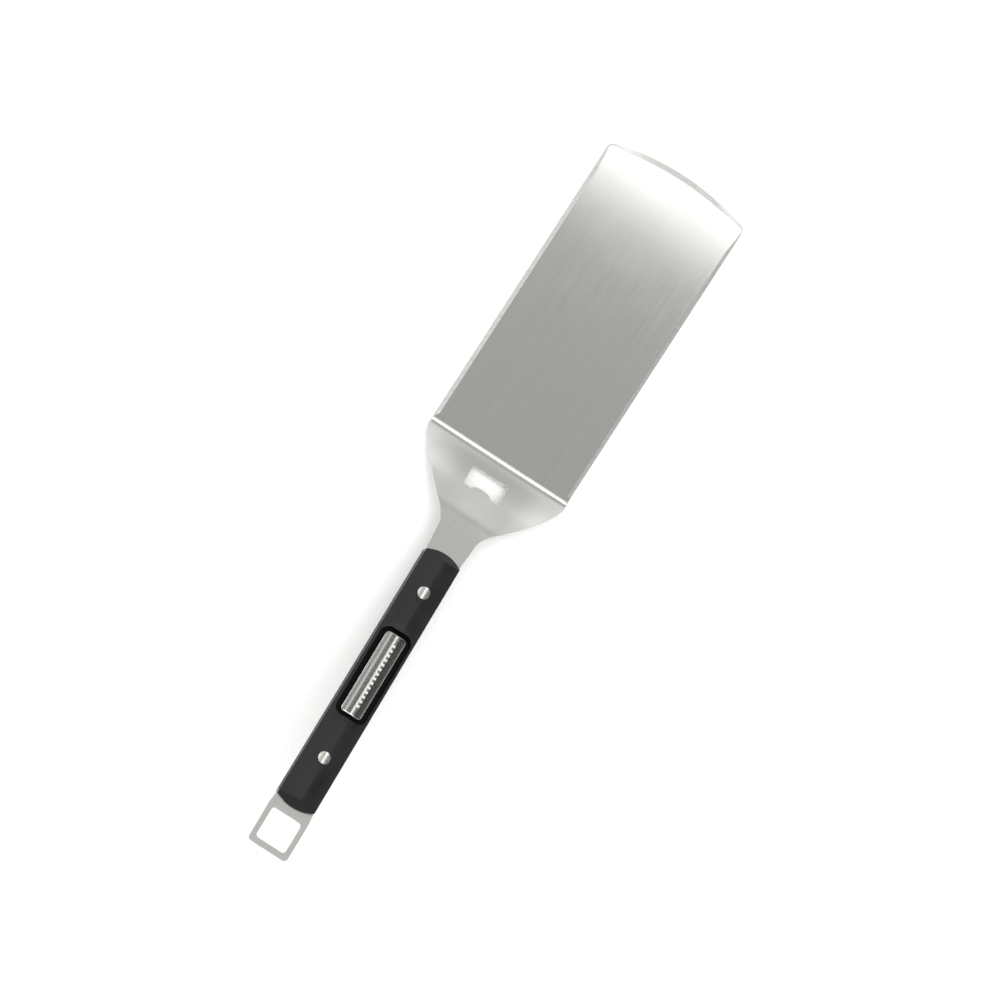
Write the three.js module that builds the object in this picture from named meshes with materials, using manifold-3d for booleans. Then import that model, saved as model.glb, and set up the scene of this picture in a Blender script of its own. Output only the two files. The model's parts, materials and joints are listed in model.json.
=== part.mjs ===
// A grill turner: one cranked sheet of stainless steel, a pair of scales riveted
// to its tang, and a convex badge set into a pocket of the upper scale.
//
// Millimetres, +Z up. The blade lies flat on z = 0 and points along +Y, the handle
// rises towards -Y, and the origin is on the ground below the middle of the length.

import * as THREE from 'three';
import { mergeVertices } from 'three/addons/utils/BufferGeometryUtils.js';
import Module from 'manifold-3d';

const wasm = await Module();
wasm.setup();

// ---------------------------------------------------------------- driving dimensions

const degrees = THREE.MathUtils.degToRad;

// The sheet, in plan
const SHEET = 1.8;
const BLADE_WIDTH = 89.4;
const BLADE_LENGTH = 188;
const TIP_RISE = 6.8;
const TIP_CORNER = 4;
const SHOULDER_RUN = 37.5;
const HANDLE_RUN = 211.3;
const NECK_WIDTH = 24.4;
const GRIP_FRONT_WIDTH = 22.4;
const GRIP_REAR_WIDTH = 24;
const TANG_INSET = 0.35;
const LOOP_WIDTH = 25.6;
const LOOP_CORNER = 2.5;

// The sheet, from the side
const SHOULDER_SLOPE = degrees(19.3);
const HANDLE_SLOPE = degrees(11.4);
const BEND_RADIUS = 6.5;

// The ground edges of the blade
const TIP_BEVEL = 3.2;
const TIP_CORNER_BEVEL = 0.9;
const SIDE_BEVEL = 2.2;
const BEVEL_DROP = 1.1;

// The bottle opener in the shoulder, along the slope from the heel line
const OPENER_START = 10.1;
const OPENER_END = 21.6;
const OPENER_WIDTH = 23.1;
const OPENER_CORNER = 1;
const TOOTH_WIDTH = 13;
const TOOTH_RISE = 2.3;

// Along the handle from the neck bend
const LOOP_HOLE_START = 192.5;
const LOOP_HOLE_END = 211.6;
const LOOP_HOLE_WIDTH = 18.9;
const LOOP_HOLE_CORNER = 1.8;
const SCALE_START = 21.9;
const SCALE_END = 187.4;
const RIVET_PLACES = { front: 47.6, rear: 155.4 };

// The scales, above the face of the tang
const SCALE_CROWN = 6.5;
const SCALE_EDGE = 2.6;
const SCALE_RIDGE_POWER = 1.7;
const SCALE_END_RISE = 3.1;
const SCALE_CHAMFER_START = 2.2;

// The badge in its pocket
const POCKET_LENGTH = 56.3;
const POCKET_WIDTH = 18.8;
const POCKET_CORNER = 4.8;
const POCKET_FLOOR = 2.4;
const BADGE_LENGTH = 51.7;
const BADGE_WIDTH = 13;
const BADGE_CORNER = 2;
const BADGE_EDGE = 1;
const BADGE_CROWN = 2.3;
const PAD_MARGIN = 1.6;
const PAD_THICKNESS = 0.5;

// The two-part rivets
const RIVET_HEAD_RADIUS = 3.6;
const RIVET_HEAD_THICKNESS = 2.3;
const RIVET_TUBE_RADIUS = 2.5;
const RIVET_BORE_RADIUS = 1.6;
const RIVET_PIN_RADIUS = 1.45;

// Room between pieces that touch on the real thing
const GAP = 0.1;

// Longer than anything that is cut, and the sides of a round
const FAR = 600;
const ROUND = 24;

// ---------------------------------------------------------------- derived places

const HALF_BLADE = BLADE_WIDTH / 2;
const HALF_SHEET = SHEET / 2;
const TOTAL_LENGTH = BLADE_LENGTH + SHOULDER_RUN + HANDLE_RUN;
const NECK_Y = -SHOULDER_RUN;
const NECK_Z = HALF_SHEET + SHOULDER_RUN * Math.tan(SHOULDER_SLOPE);
const BUTT_Y = NECK_Y - HANDLE_RUN;
const BUTT_Z = NECK_Z + HANDLE_RUN * Math.tan(HANDLE_SLOPE);
const SCALE_FRONT_Y = -SCALE_START;
const SCALE_REAR_Y = -SCALE_END;
const BADGE_Y = -(RIVET_PLACES.front + RIVET_PLACES.rear) / 2;
const PAD_BASE = POCKET_FLOOR + GAP;
const BADGE_BASE = PAD_BASE + PAD_THICKNESS + GAP;

// The neck bend and the heel line carry the two turned frames of the sloping parts.
const handleFrame = new THREE.Matrix4()
  .makeRotationX(-HANDLE_SLOPE)
  .setPosition(0, NECK_Y, NECK_Z);
const shoulderFrame = new THREE.Matrix4()
  .makeRotationX(-SHOULDER_SLOPE)
  .setPosition(0, 0, HALF_SHEET);

// ---------------------------------------------------------------- solids and cuts

/** Turn a closed geometry into a manifold solid. */
function solidOf(geometry) {
  const bare = geometry.index ? geometry.toNonIndexed() : geometry.clone();
  bare.deleteAttribute('normal');
  bare.deleteAttribute('uv');
  const merged = mergeVertices(bare, 1e-5);
  return new wasm.Manifold(new wasm.Mesh({
    numProp: 3,
    vertProperties: new Float32Array(merged.attributes.position.array),
    triVerts: new Uint32Array(merged.index.array),
  }));
}

/** Turn a manifold solid back into a geometry. */
function geometryOf(solid) {
  const mesh = solid.getMesh();
  const geometry = new THREE.BufferGeometry();
  geometry.setAttribute('position', new THREE.BufferAttribute(mesh.vertProperties, mesh.numProp));
  geometry.setIndex(new THREE.BufferAttribute(mesh.triVerts, 1));
  geometry.computeVertexNormals();
  return geometry;
}

/** A prism of a shape in the XY plane, standing from z = low to z = high. */
function prism(shape, low, high, curveSegments = ROUND) {
  const geometry = new THREE.ExtrudeGeometry(shape, {
    depth: high - low,
    bevelEnabled: false,
    curveSegments,
  });
  return geometry.translate(0, 0, low);
}

/** An upright cylinder on the middle line at y, from z = low to z = high. */
function upright(radius, low, high, y) {
  return new THREE.CylinderGeometry(radius, radius, high - low, ROUND)
    .rotateX(Math.PI / 2)
    .translate(0, y, (low + high) / 2);
}

/** Carry a shape drawn in (y, z) and extruded along x into the part's axes. */
function acrossX(shape, width, curveSegments = ROUND) {
  const geometry = new THREE.ExtrudeGeometry(shape, {
    depth: width,
    bevelEnabled: false,
    curveSegments,
  });
  geometry.translate(0, 0, -width / 2);
  const axes = new THREE.Matrix4().makeBasis(
    new THREE.Vector3(0, 1, 0),
    new THREE.Vector3(0, 0, 1),
    new THREE.Vector3(1, 0, 0),
  );
  return geometry.applyMatrix4(axes);
}

/** Carry a shape drawn in (x, z) and extruded from y = rear to y = front into the part's axes. */
function alongY(shape, rear, front) {
  const geometry = new THREE.ExtrudeGeometry(shape, { depth: front - rear, bevelEnabled: false });
  return geometry.rotateX(Math.PI / 2).translate(0, front, 0);
}

/** A rounded rectangle about (0, y), as wide as x and as long as y. */
function roundedRectangle(width, length, corner, y) {
  const x = width / 2;
  const low = y - length / 2;
  const high = y + length / 2;
  const shape = new THREE.Shape();
  shape.moveTo(-x + corner, low);
  shape.lineTo(x - corner, low);
  shape.absarc(x - corner, low + corner, corner, -Math.PI / 2, 0);
  shape.lineTo(x, high - corner);
  shape.absarc(x - corner, high - corner, corner, 0, Math.PI / 2);
  shape.lineTo(-x + corner, high);
  shape.absarc(-x + corner, high - corner, corner, Math.PI / 2, Math.PI);
  shape.lineTo(-x, low + corner);
  shape.absarc(-x + corner, low + corner, corner, Math.PI, Math.PI * 1.5);
  return shape;
}

// ---------------------------------------------------------------- the sheet

/** The arc that rounds the bend at `corner` between two directions, at the sheet's middle. */
function bendAt(corner, before, after) {
  const turn = before.cross(after);
  const side = Math.sign(turn);
  const angle = Math.asin(Math.abs(turn));
  const inward = new THREE.Vector2(-before.y, before.x).multiplyScalar(side);
  const centre = corner.clone()
    .addScaledVector(before, -BEND_RADIUS * Math.tan(angle / 2))
    .addScaledVector(inward, BEND_RADIUS);
  const start = Math.atan2(-inward.y, -inward.x);
  return { centre, start, end: start + side * angle, side };
}

/** The sheet seen from the side: a band of even thickness along blade, shoulder and handle. */
function sideBand() {
  const beyond = 20;
  const tip = new THREE.Vector2(BLADE_LENGTH + beyond, HALF_SHEET);
  const heel = new THREE.Vector2(0, HALF_SHEET);
  const neck = new THREE.Vector2(NECK_Y, NECK_Z);
  const handle = new THREE.Vector2(-Math.cos(HANDLE_SLOPE), Math.sin(HANDLE_SLOPE));
  const butt = new THREE.Vector2(BUTT_Y, BUTT_Z).addScaledVector(handle, beyond);
  const shoulder = new THREE.Vector2(-Math.cos(SHOULDER_SLOPE), Math.sin(SHOULDER_SLOPE));
  const blade = new THREE.Vector2(-1, 0);
  const bends = [bendAt(heel, blade, shoulder), bendAt(neck, shoulder, handle)];

  // The upper face runs from the tip to the butt, and the underside runs back.
  const shape = new THREE.Shape();
  const buttNormal = new THREE.Vector2(handle.y, -handle.x);
  shape.moveTo(tip.x, tip.y - HALF_SHEET);
  shape.lineTo(tip.x, tip.y + HALF_SHEET);
  for (const { centre, start, end, side } of bends) {
    shape.absarc(centre.x, centre.y, BEND_RADIUS + side * HALF_SHEET, start, end, side < 0);
  }
  shape.lineTo(butt.x + buttNormal.x * HALF_SHEET, butt.y + buttNormal.y * HALF_SHEET);
  shape.lineTo(butt.x - buttNormal.x * HALF_SHEET, butt.y - buttNormal.y * HALF_SHEET);
  for (const { centre, start, end, side } of bends.reverse()) {
    shape.absarc(centre.x, centre.y, BEND_RADIUS - side * HALF_SHEET, end, start, side > 0);
  }
  return shape;
}

/** The blade in plan. `inset` draws the sides in, `tipInset` the middle of the tip. */
function bladeOutline(inset, tipInset, tipCornerInset) {
  const half = HALF_BLADE - inset;
  const rise = TIP_RISE - tipInset + tipCornerInset;
  const radius = (half * half + rise * rise) / (2 * rise);
  const centreY = BLADE_LENGTH - tipInset - radius;
  const corner = TIP_CORNER - inset / 2;

  // The corner circle touches the side from within and the front arc from within.
  const cornerX = half - corner;
  const cornerY = centreY + Math.sqrt((radius - corner) ** 2 - cornerX ** 2);
  const touch = Math.atan2(cornerY - centreY, cornerX);

  const shape = new THREE.Shape();
  shape.moveTo(-half, 0);
  shape.lineTo(half, 0);
  shape.absarc(cornerX, cornerY, corner, 0, touch);
  shape.absarc(0, centreY, radius, touch, Math.PI - touch);
  shape.absarc(-cornerX, cornerY, corner, Math.PI - touch, Math.PI);
  return shape;
}

/** The blade with its front and sides ground to a bevel, from the ground up to the top face. */
function groundBlade() {
  const outer = bladeOutline(0, 0, 0).getPoints(ROUND);
  const inner = bladeOutline(SIDE_BEVEL, TIP_BEVEL, TIP_CORNER_BEVEL).getPoints(ROUND);
  const edge = SHEET - BEVEL_DROP;
  const geometry = new THREE.ExtrudeGeometry(new THREE.Shape(outer), {
    depth: BEVEL_DROP,
    bevelEnabled: false,
  });

  // Both outlines have the same number of points, so the top ring moves point by point.
  const position = geometry.attributes.position;
  const place = new THREE.Vector3();
  for (let i = 0; i < position.count; i += 1) {
    place.fromBufferAttribute(position, i);
    if (place.z > BEVEL_DROP / 2) {
      const twin = outer.findIndex((point) => point.distanceTo(place) < 1e-4);
      position.setXY(i, inner[twin].x, inner[twin].y);
    }
  }
  const bevelled = solidOf(geometry.translate(0, 0, edge));
  const base = solidOf(prism(new THREE.Shape(outer), -SHEET, edge));
  return base.add(bevelled);
}

/** Shoulder, neck, grip and hanging loop in plan, from the heel line to the butt. */
function rearOutline() {
  const heelStraight = 1.5;
  const neck = NECK_WIDTH / 2;
  const loop = LOOP_WIDTH / 2;
  const alongHandle = (distance) => NECK_Y - distance * Math.cos(HANDLE_SLOPE);

  // Down the right side from the heel: a full curve, a hollow fillet, then the grip's taper.
  const curve = { heelY: -9, waistX: 28.4, waistY: -27.5, endX: 18.7, endY: -35.7 };
  const filletY = curve.endY - (curve.endX - neck);
  const filletEnd = -47;
  const taper = [
    new THREE.Vector2(neck, filletEnd),
    new THREE.Vector2(GRIP_FRONT_WIDTH / 2 - TANG_INSET, alongHandle(SCALE_START + 2 * SCALE_END_RISE)),
    new THREE.Vector2(GRIP_REAR_WIDTH / 2 - TANG_INSET, alongHandle(SCALE_END - 2 * SCALE_END_RISE)),
    new THREE.Vector2(loop, alongHandle(SCALE_END + SCALE_END_RISE)),
    new THREE.Vector2(loop, BUTT_Y + LOOP_CORNER),
  ];

  const shape = new THREE.Shape();
  shape.moveTo(HALF_BLADE, heelStraight);
  shape.lineTo(-HALF_BLADE, heelStraight);
  shape.lineTo(-HALF_BLADE, -heelStraight);
  shape.bezierCurveTo(-HALF_BLADE, curve.heelY, -curve.waistX, curve.waistY, -curve.endX, curve.endY);
  shape.quadraticCurveTo(-neck, filletY, -neck, filletEnd);
  for (const point of taper) shape.lineTo(-point.x, point.y);
  shape.absarc(-loop + LOOP_CORNER, BUTT_Y + LOOP_CORNER, LOOP_CORNER, Math.PI, Math.PI * 1.5);
  shape.absarc(loop - LOOP_CORNER, BUTT_Y + LOOP_CORNER, LOOP_CORNER, -Math.PI / 2, 0);
  for (const point of taper.reverse()) shape.lineTo(point.x, point.y);
  shape.quadraticCurveTo(neck, filletY, curve.endX, curve.endY);
  shape.bezierCurveTo(curve.waistX, curve.waistY, HALF_BLADE, curve.heelY, HALF_BLADE, -heelStraight);
  return shape;
}

/** The opener's slot: a rectangle with an arched tooth standing into it from the neck's side. */
function openerOutline() {
  const x = OPENER_WIDTH / 2;
  const low = -OPENER_END;
  const high = -OPENER_START;
  const r = OPENER_CORNER;
  const tooth = TOOTH_WIDTH / 2;
  const flank = tooth * 0.75;
  // A cubic whose middle controls are level reaches three quarters of their height.
  const arch = low + TOOTH_RISE / 0.75;
  const shape = new THREE.Shape();
  shape.moveTo(-x + r, low);
  shape.lineTo(-tooth, low);
  shape.bezierCurveTo(-flank, arch, flank, arch, tooth, low);
  shape.lineTo(x - r, low);
  shape.absarc(x - r, low + r, r, -Math.PI / 2, 0);
  shape.absarc(x - r, high - r, r, 0, Math.PI / 2);
  shape.absarc(-x + r, high - r, r, Math.PI / 2, Math.PI);
  shape.absarc(-x + r, low + r, r, Math.PI, Math.PI * 1.5);
  return shape;
}

/** The whole sheet: the side band cut to its plan, with the slot, loop and rivet holes through it. */
function sheetSolid() {
  const cutDepth = 10;
  const plan = groundBlade().add(solidOf(prism(rearOutline(), -SHEET, BUTT_Z + cutDepth)));
  const opener = prism(openerOutline(), -cutDepth, cutDepth).applyMatrix4(shoulderFrame);
  const loopMiddle = -(LOOP_HOLE_START + LOOP_HOLE_END) / 2;
  const loopLength = LOOP_HOLE_END - LOOP_HOLE_START;
  const loopHole = roundedRectangle(LOOP_HOLE_WIDTH, loopLength, LOOP_HOLE_CORNER, loopMiddle);
  const loop = prism(loopHole, -cutDepth, cutDepth, 8).applyMatrix4(handleFrame);
  let sheet = solidOf(acrossX(sideBand(), BLADE_WIDTH + 2, 12)).intersect(plan);
  sheet = sheet.subtract(solidOf(opener)).subtract(solidOf(loop));
  for (const place of Object.values(RIVET_PLACES)) {
    const hole = upright(RIVET_TUBE_RADIUS + GAP, -cutDepth, cutDepth, -place);
    sheet = sheet.subtract(solidOf(hole.applyMatrix4(handleFrame)));
  }
  return sheet;
}

// ---------------------------------------------------------------- the scales

/** A scale's cross-section: low at the sides, rising to a soft ridge. */
function domeShape() {
  const half = GRIP_REAR_WIDTH / 2 + 1;
  const steps = 28;
  const shape = new THREE.Shape();
  shape.moveTo(-half, 0);
  for (let i = 0; i <= steps; i += 1) {
    const x = half * (2 * i / steps - 1);
    const fall = (Math.abs(x) / (GRIP_REAR_WIDTH / 2)) ** SCALE_RIDGE_POWER;
    shape.lineTo(x, SCALE_CROWN - (SCALE_CROWN - SCALE_EDGE) * fall);
  }
  shape.lineTo(half, 0);
  return shape;
}

/** The dome as a long bar, from the tang's face up. */
function domeBar() {
  return solidOf(alongY(domeShape(), -FAR / 2, 0));
}

/** A scale's straight tapering sides in plan. */
function scaleSides() {
  const front = GRIP_FRONT_WIDTH / 2;
  const rear = GRIP_REAR_WIDTH / 2;
  const shape = new THREE.Shape();
  shape.moveTo(-rear, SCALE_REAR_Y);
  shape.lineTo(rear, SCALE_REAR_Y);
  shape.lineTo(front, SCALE_FRONT_Y);
  shape.lineTo(-front, SCALE_FRONT_Y);
  return solidOf(prism(shape, 0, SCALE_CROWN + 1));
}

/**
 * The room a scale may fill at one end: a chamfered disc whose rim is the bulging end,
 * joined to everything on the grip's side of its centre. `outward` is 1 at the front.
 */
function scaleEnd(width, endY, outward) {
  const half = width / 2;
  const radius = (half ** 2 + SCALE_END_RISE ** 2) / (2 * SCALE_END_RISE);
  const chamfer = SCALE_CROWN - SCALE_CHAMFER_START + GAP;
  const centreY = endY - outward * radius;
  const profile = [
    new THREE.Vector2(0, -1),
    new THREE.Vector2(radius, -1),
    new THREE.Vector2(radius, SCALE_CHAMFER_START),
    new THREE.Vector2(radius - chamfer, SCALE_CHAMFER_START + chamfer),
    new THREE.Vector2(0, SCALE_CHAMFER_START + chamfer),
  ];
  const disc = new THREE.LatheGeometry(profile, 4 * ROUND).rotateX(Math.PI / 2).translate(0, centreY, 0);
  const room = new THREE.BoxGeometry(FAR, FAR, 4 * SCALE_CROWN)
    .translate(0, centreY - outward * FAR / 2, 0);
  return solidOf(disc).add(solidOf(room));
}

/** A whole scale above z = 0, with its ends chamfered, its holes and its counterbores. */
function scaleSolid() {
  let scale = domeBar().intersect(scaleSides());
  scale = scale.intersect(scaleEnd(GRIP_FRONT_WIDTH, SCALE_FRONT_Y, 1));
  scale = scale.intersect(scaleEnd(GRIP_REAR_WIDTH, SCALE_REAR_Y, -1));
  for (const place of Object.values(RIVET_PLACES)) {
    const floor = SCALE_CROWN - RIVET_HEAD_THICKNESS - GAP;
    const bore = upright(RIVET_TUBE_RADIUS + GAP, -1, SCALE_CROWN + 1, -place);
    const counterbore = upright(RIVET_HEAD_RADIUS + GAP, floor, SCALE_CROWN + 1, -place);
    scale = scale.subtract(solidOf(bore)).subtract(solidOf(counterbore));
  }
  return scale;
}

/** The pocket that the badge lies in. */
function pocketSolid() {
  const outline = roundedRectangle(POCKET_WIDTH, POCKET_LENGTH, POCKET_CORNER, BADGE_Y);
  return solidOf(prism(outline, POCKET_FLOOR, SCALE_CROWN + 1, 8));
}

// ---------------------------------------------------------------- badge, pad and rivets

/** The badge: a rounded plate, flat below and arched across its width. */
function badgeSolid() {
  const half = BADGE_WIDTH / 2;
  const rise = BADGE_CROWN - BADGE_EDGE;
  const radius = (half ** 2 + rise ** 2) / (2 * rise);
  const turn = Math.asin(half / radius);
  const up = Math.PI / 2;
  const section = new THREE.Shape();
  section.moveTo(-half, 0);
  section.lineTo(half, 0);
  section.absarc(0, BADGE_CROWN - radius, radius, up - turn, up + turn);
  const bar = alongY(section, BADGE_Y - BADGE_LENGTH, BADGE_Y + BADGE_LENGTH);
  const plan = roundedRectangle(BADGE_WIDTH, BADGE_LENGTH, BADGE_CORNER, BADGE_Y);
  const plate = solidOf(bar).intersect(solidOf(prism(plan, -1, BADGE_CROWN + 1, 8)));
  return plate.translate(0, 0, BADGE_BASE);
}

/** The adhesive pad under the badge. */
function padGeometry() {
  const width = BADGE_WIDTH - 2 * PAD_MARGIN;
  const length = BADGE_LENGTH - 2 * PAD_MARGIN;
  const corner = BADGE_CORNER / 2;
  return prism(roundedRectangle(width, length, corner, BADGE_Y), PAD_BASE, PAD_BASE + PAD_THICKNESS, 6);
}

/** A rivet's head, ground flush with the dome of the scale. Heights are above the tang's face. */
function headSolid(place) {
  const head = upright(RIVET_HEAD_RADIUS, SCALE_CROWN - RIVET_HEAD_THICKNESS, SCALE_CROWN + 1, -place);
  return solidOf(head).intersect(domeBar());
}

/** The tube half: a head with a bored shank that reaches down to the other half's head. */
function rivetTube(place) {
  const depth = -SHEET - SCALE_CROWN + RIVET_HEAD_THICKNESS + GAP;
  const shank = upright(RIVET_TUBE_RADIUS, depth, SCALE_CROWN - RIVET_HEAD_THICKNESS + 1, -place);
  const bore = upright(RIVET_BORE_RADIUS, depth - 1, SCALE_CROWN - RIVET_HEAD_THICKNESS, -place);
  return headSolid(place).add(solidOf(shank)).subtract(solidOf(bore));
}

/** The pin half: a head with a solid pin that is pressed into the tube's bore. */
function rivetPin(place) {
  const depth = -SHEET - SCALE_CROWN + RIVET_HEAD_THICKNESS + GAP;
  const pin = upright(RIVET_PIN_RADIUS, depth, SCALE_CROWN - RIVET_HEAD_THICKNESS + 1, -place);
  return headSolid(place).add(solidOf(pin));
}

// ---------------------------------------------------------------- the assembly

const brushedSteel = { color: 0xa9aba6, roughness: 0.36, metalness: 1 };
const polishedSteel = { color: 0xc4c5c3, roughness: 0.24, metalness: 1 };
const handleResin = { color: 0x39383a, roughness: 0.58, metalness: 0 };
const adhesive = { color: 0x1c1c1d, roughness: 0.9, metalness: 0 };

/** A named mesh with a material of its own. */
function piece(name, geometry, look) {
  const mesh = new THREE.Mesh(geometry, new THREE.MeshStandardMaterial(look));
  mesh.name = name;
  return mesh;
}

/** The handle's pieces on one side of the tang, heights measured from the tang's face. */
function handleSide(turned) {
  const side = new THREE.Group();
  side.position.z = (turned ? -1 : 1) * (HALF_SHEET + GAP);
  side.rotation.y = turned ? Math.PI : 0;
  return side;
}

const upperSide = handleSide(false);
upperSide.add(
  piece('upper_scale', geometryOf(scaleSolid().subtract(pocketSolid())), handleResin),
  piece('badge_pad', padGeometry(), adhesive),
  piece('badge_plate', geometryOf(badgeSolid()), polishedSteel),
);

const lowerSide = handleSide(true);
lowerSide.add(piece('lower_scale', geometryOf(scaleSolid()), handleResin));

for (const [name, place] of Object.entries(RIVET_PLACES)) {
  upperSide.add(piece(`${name}_rivet_tube`, geometryOf(rivetTube(place)), polishedSteel));
  lowerSide.add(piece(`${name}_rivet_pin`, geometryOf(rivetPin(place)), polishedSteel));
}

const handle = new THREE.Group();
handle.applyMatrix4(handleFrame);
handle.add(upperSide, lowerSide);

const turner = new THREE.Group();
turner.add(piece('blade_and_tang', geometryOf(sheetSolid()), brushedSteel), handle);
turner.position.y = TOTAL_LENGTH / 2 - BLADE_LENGTH;

const assembly = new THREE.Group();
assembly.add(turner);

export default assembly;
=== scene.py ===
"""A grill spatula: a cranked stainless sheet, two black handle scales, flush rivets and an inlaid badge.

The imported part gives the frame. Each visible piece is built here as a finer mesh in the same place, and
each takes a procedural finish. Sizes are in millimetres until a mesh is finished.
"""

import json
import logging
import math
from collections.abc import Callable, Iterable, Sequence
from dataclasses import dataclass
from enum import Enum

import bmesh
import bpy
from mathutils import Matrix, Vector

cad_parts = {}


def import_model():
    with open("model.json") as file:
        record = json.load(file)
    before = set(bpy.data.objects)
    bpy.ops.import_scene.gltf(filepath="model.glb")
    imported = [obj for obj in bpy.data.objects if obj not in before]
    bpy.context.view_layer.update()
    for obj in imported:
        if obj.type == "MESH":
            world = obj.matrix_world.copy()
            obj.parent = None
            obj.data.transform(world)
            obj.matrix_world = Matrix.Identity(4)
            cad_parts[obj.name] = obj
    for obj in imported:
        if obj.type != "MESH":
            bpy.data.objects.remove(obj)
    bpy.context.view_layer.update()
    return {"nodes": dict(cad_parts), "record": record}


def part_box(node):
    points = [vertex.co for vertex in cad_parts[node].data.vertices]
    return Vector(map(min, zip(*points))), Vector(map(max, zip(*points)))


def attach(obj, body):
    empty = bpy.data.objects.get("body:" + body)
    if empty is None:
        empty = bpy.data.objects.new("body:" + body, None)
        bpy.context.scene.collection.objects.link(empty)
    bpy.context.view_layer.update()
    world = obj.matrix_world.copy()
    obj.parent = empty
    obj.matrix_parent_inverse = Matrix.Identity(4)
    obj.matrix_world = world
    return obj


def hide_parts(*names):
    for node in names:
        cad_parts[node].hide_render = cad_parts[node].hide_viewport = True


LOG = logging.getLogger("grill_spatula")

MM = 0.001
# Points closer than this, in millimetres, are one.
TOUCH = 1e-4
BODY = "root"

# A point in plan: across, and along towards the tip.
Point = tuple[float, float]
# A point of a piece before it is shaped: across, along and up.
Place = tuple[float, float, float]
# What gives a wall's ring: for a point of the outline, its inset and its height.
Level = Callable[[Point], Point]
Ring = list[bmesh.types.BMEdge]
Socket = bpy.types.NodeSocket
Material = bpy.types.Material

# Where the two rivets stand along the handle, from the neck bend.
RIVET_PLACES = (47.6, 155.4)


# ---------------------------------------------------------------- outlines


def arc(centre: Point, radius: float, start: float, end: float, steps: int) -> list[Point]:
    """Points along a circular arc from one angle to another, in radians from +X, both ends included."""
    turns = [start + (end - start) * i / steps for i in range(steps + 1)]
    return [(centre[0] + radius * math.cos(a), centre[1] + radius * math.sin(a)) for a in turns]


def curve(controls: Sequence[Point], steps: int) -> list[Point]:
    """Points along a Bezier curve of any degree.

    Args:
        controls: Its control points.
        steps: Number of stretches between the points.

    Returns:
        The points, both ends included.
    """
    points = []
    for i in range(steps + 1):
        t = i / steps
        row = [Vector(control) for control in controls]
        while len(row) > 1:
            row = [a.lerp(b, t) for a, b in zip(row, row[1:])]
        points.append((row[0].x, row[0].y))
    return points


def line(first: Point, last: Point, steps: int) -> list[Point]:
    """Evenly spaced points along a straight line, both ends included."""
    return curve([first, last], steps)


def mirrored(right: Sequence[Point]) -> list[Point]:
    """Close a loop by mirroring its right half, which runs from the middle of one end to the other."""
    left = [(-x, y) for x, y in reversed(right[1:-1])]
    return [*right, *left]


def rounded_box(width: float, length: float, corner: float, middle_y: float) -> list[Point]:
    """An anticlockwise rectangle with round corners.

    Args:
        width: Size across.
        length: Size along.
        corner: Radius of the corners.
        middle_y: Where its middle lies along the part.

    Returns:
        The loop's points.
    """
    steps = 10
    x = width / 2 - corner
    y = length / 2 - corner
    quarter = math.pi / 2
    points = []
    for turn, (side, end) in enumerate([(1, 1), (-1, 1), (-1, -1), (1, -1)]):
        centre = (side * x, middle_y + end * y)
        points += arc(centre, corner, turn * quarter, (turn + 1) * quarter, steps)
    return points


def circle(radius: float, middle_y: float) -> list[Point]:
    """An anticlockwise circle about the middle line."""
    steps = 40
    return arc((0, middle_y), radius, 0, math.tau, steps)[:-1]


def inset(loop: Sequence[Point], depths: Sequence[float]) -> list[Point]:
    """Draw an anticlockwise loop inwards, each point by its own depth.

    Args:
        loop: The loop.
        depths: How far each point moves square to its sides; negative moves it out.

    Returns:
        The new points, one for each old one.
    """
    moved = []
    for i, here in enumerate(loop):
        before = Vector(here) - Vector(loop[i - 1])
        after = Vector(loop[(i + 1) % len(loop)]) - Vector(here)
        first = Vector((-before.y, before.x)).normalized()
        second = Vector((-after.y, after.x)).normalized()
        step = (first + second) * (depths[i] / (1 + first.dot(second)))
        moved.append((here[0] + step.x, here[1] + step.y))
    return moved


def smooth_step(low: float, high: float, value: float) -> float:
    """Rise smoothly from 0 at `low` to 1 at `high`, which may be the smaller one."""
    t = min(max((value - low) / (high - low), 0.0), 1.0)
    return t * t * (3 - 2 * t)


def soft_least(first: float, second: float, width: float) -> float:
    """The smaller of two heights, with the corner where they cross rounded over `width`."""
    near = max(width - abs(first - second), 0.0) / width
    return min(first, second) - near * near * width / 4


# ---------------------------------------------------------------- shells


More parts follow.
